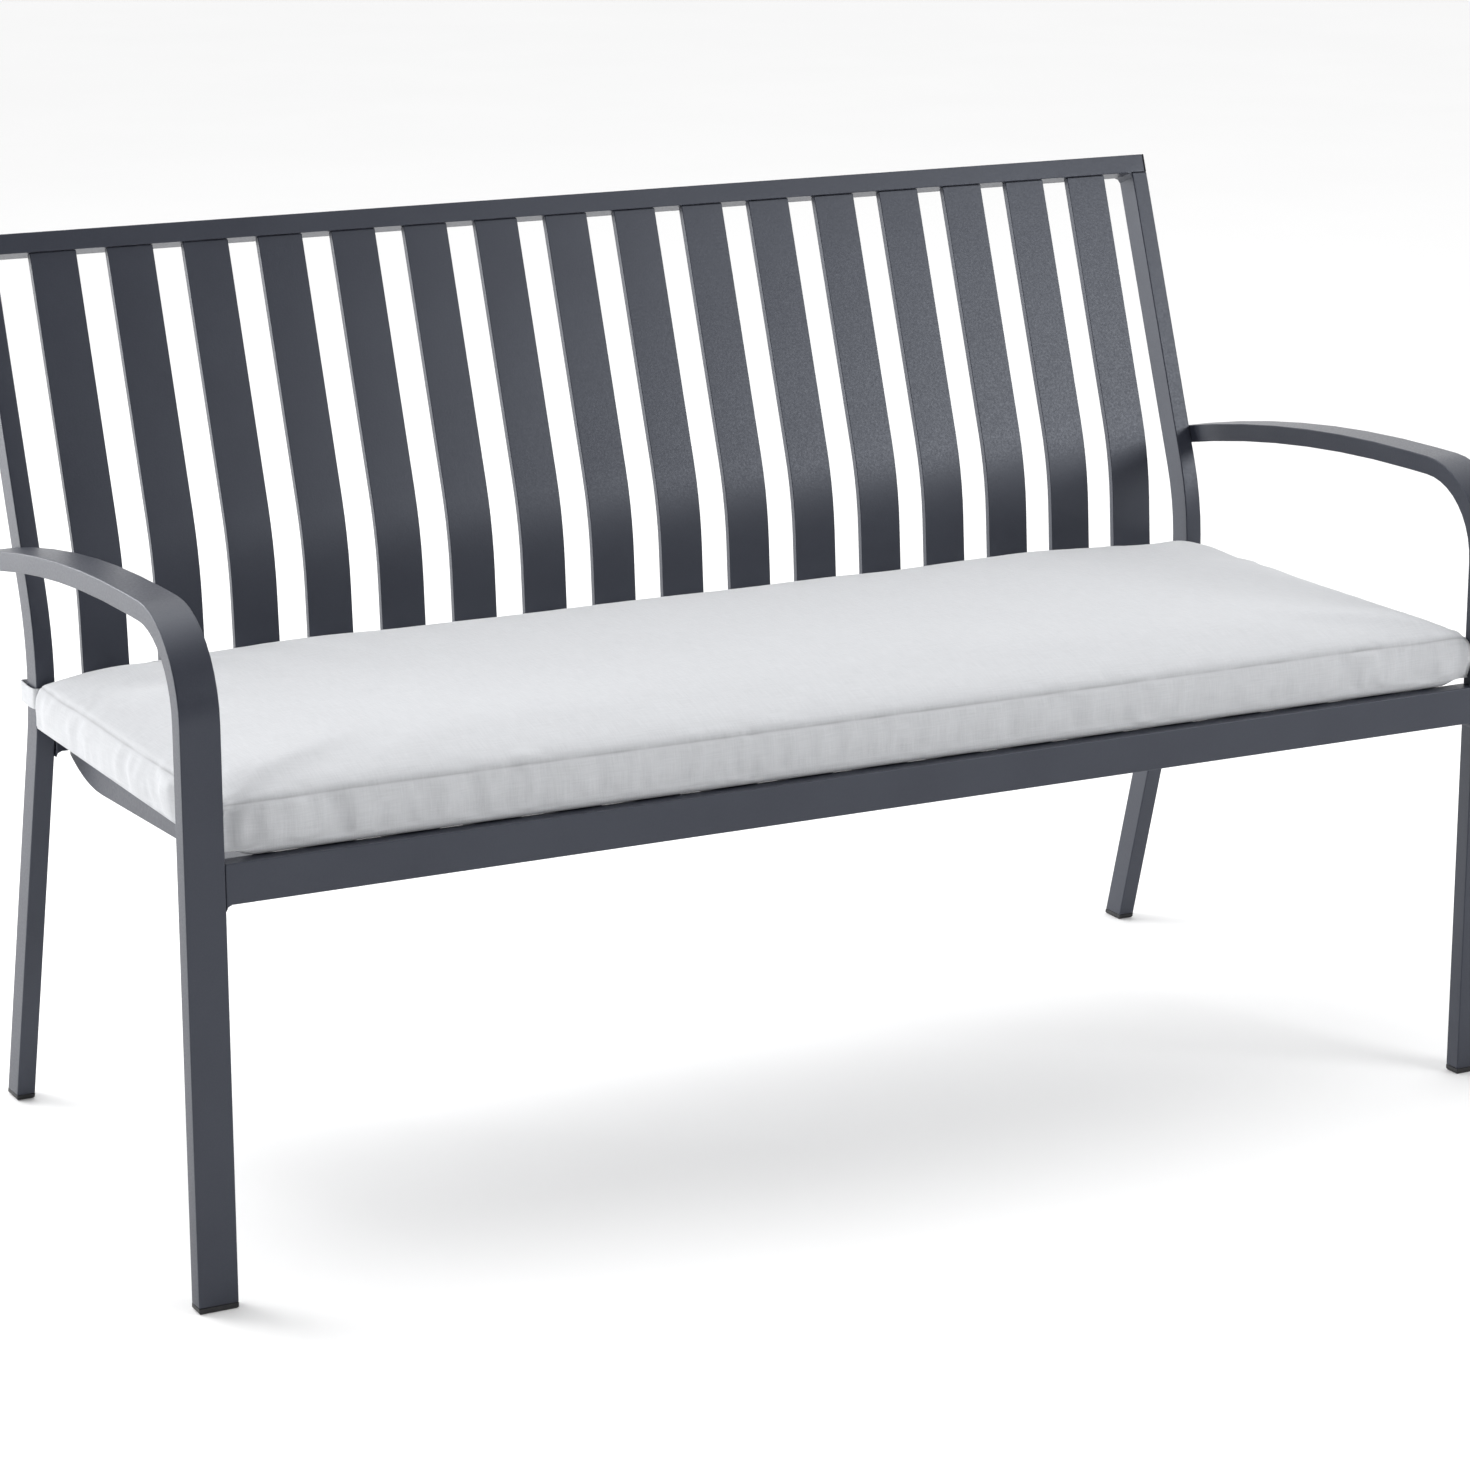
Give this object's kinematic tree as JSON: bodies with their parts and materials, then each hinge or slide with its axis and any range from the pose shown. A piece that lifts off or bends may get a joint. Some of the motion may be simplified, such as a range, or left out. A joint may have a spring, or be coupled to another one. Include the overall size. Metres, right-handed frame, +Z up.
{
  "type": "garden bench with seat cushion",
  "caption": "Wide outdoor bench in welded rectangular tube: curved arms, leaning back of flat upright slats, slatted seat and a boxed grey cushion held by straps.",
  "frame": {"origin": "on the floor, under the middle of the bench's bounding box", "axes": "+X across the bench towards its left arm as a sitter has it, -Y the way a sitter faces, +Z up"},
  "size_m": [1.5, 0.6956, 0.93],
  "materials": {
    "frame_aluminium": "satin",
    "black_plastic": "matte",
    "cushion_fabric": "matte",
    "cushion_foam": "matte"
  },
  "bodies": {
    "frame": {"arm_plug_left": "black_plastic", "arm_plug_right": "black_plastic", "back_slat_01": "frame_aluminium", "back_slat_02": "frame_aluminium", "back_slat_03": "frame_aluminium", "back_slat_04": "frame_aluminium", "back_slat_05": "frame_aluminium", "back_slat_06": "frame_aluminium", "back_slat_07": "frame_aluminium", "back_slat_08": "frame_aluminium", "back_slat_09": "frame_aluminium", "back_slat_10": "frame_aluminium", "back_slat_11": "frame_aluminium", "back_slat_12": "frame_aluminium", "back_slat_13": "frame_aluminium", "back_slat_14": "frame_aluminium", "back_slat_15": "frame_aluminium", "back_slat_16": "frame_aluminium", "cushion_strap_left": "cushion_fabric", "cushion_strap_right": "cushion_fabric", "foot_cap_front_left": "black_plastic", "foot_cap_front_right": "black_plastic", "foot_cap_rear_left": "black_plastic", "foot_cap_rear_right": "black_plastic", "front_rail": "frame_aluminium", "leg_arm_left": "frame_aluminium", "leg_arm_right": "frame_aluminium", "post_left": "frame_aluminium", "post_right": "frame_aluminium", "rear_rail": "frame_aluminium", "seat_slat_01": "frame_aluminium", "seat_slat_02": "frame_aluminium", "seat_slat_03": "frame_aluminium", "seat_slat_04": "frame_aluminium", "seat_slat_05": "frame_aluminium", "seat_slat_06": "frame_aluminium", "seat_slat_07": "frame_aluminium", "seat_slat_08": "frame_aluminium", "seat_slat_09": "frame_aluminium", "seat_slat_10": "frame_aluminium", "seat_slat_11": "frame_aluminium", "seat_slat_12": "frame_aluminium", "seat_slat_13": "frame_aluminium", "seat_slat_14": "frame_aluminium", "seat_slat_15": "frame_aluminium", "side_rail_left": "frame_aluminium", "side_rail_right": "frame_aluminium", "top_rail": "frame_aluminium", "top_rail_plug_left": "black_plastic", "top_rail_plug_right": "black_plastic"},
    "cushion": {"cushion_cover": "cushion_fabric", "cushion_foam": "cushion_foam", "cushion_zip": "black_plastic"}
  },
  "joints": [
    {"name": "cushion_lift", "type": "slide", "parent": "frame", "child": "cushion", "axis": [0, 0, 1], "range_m": [0, 0.55]}
  ]
}
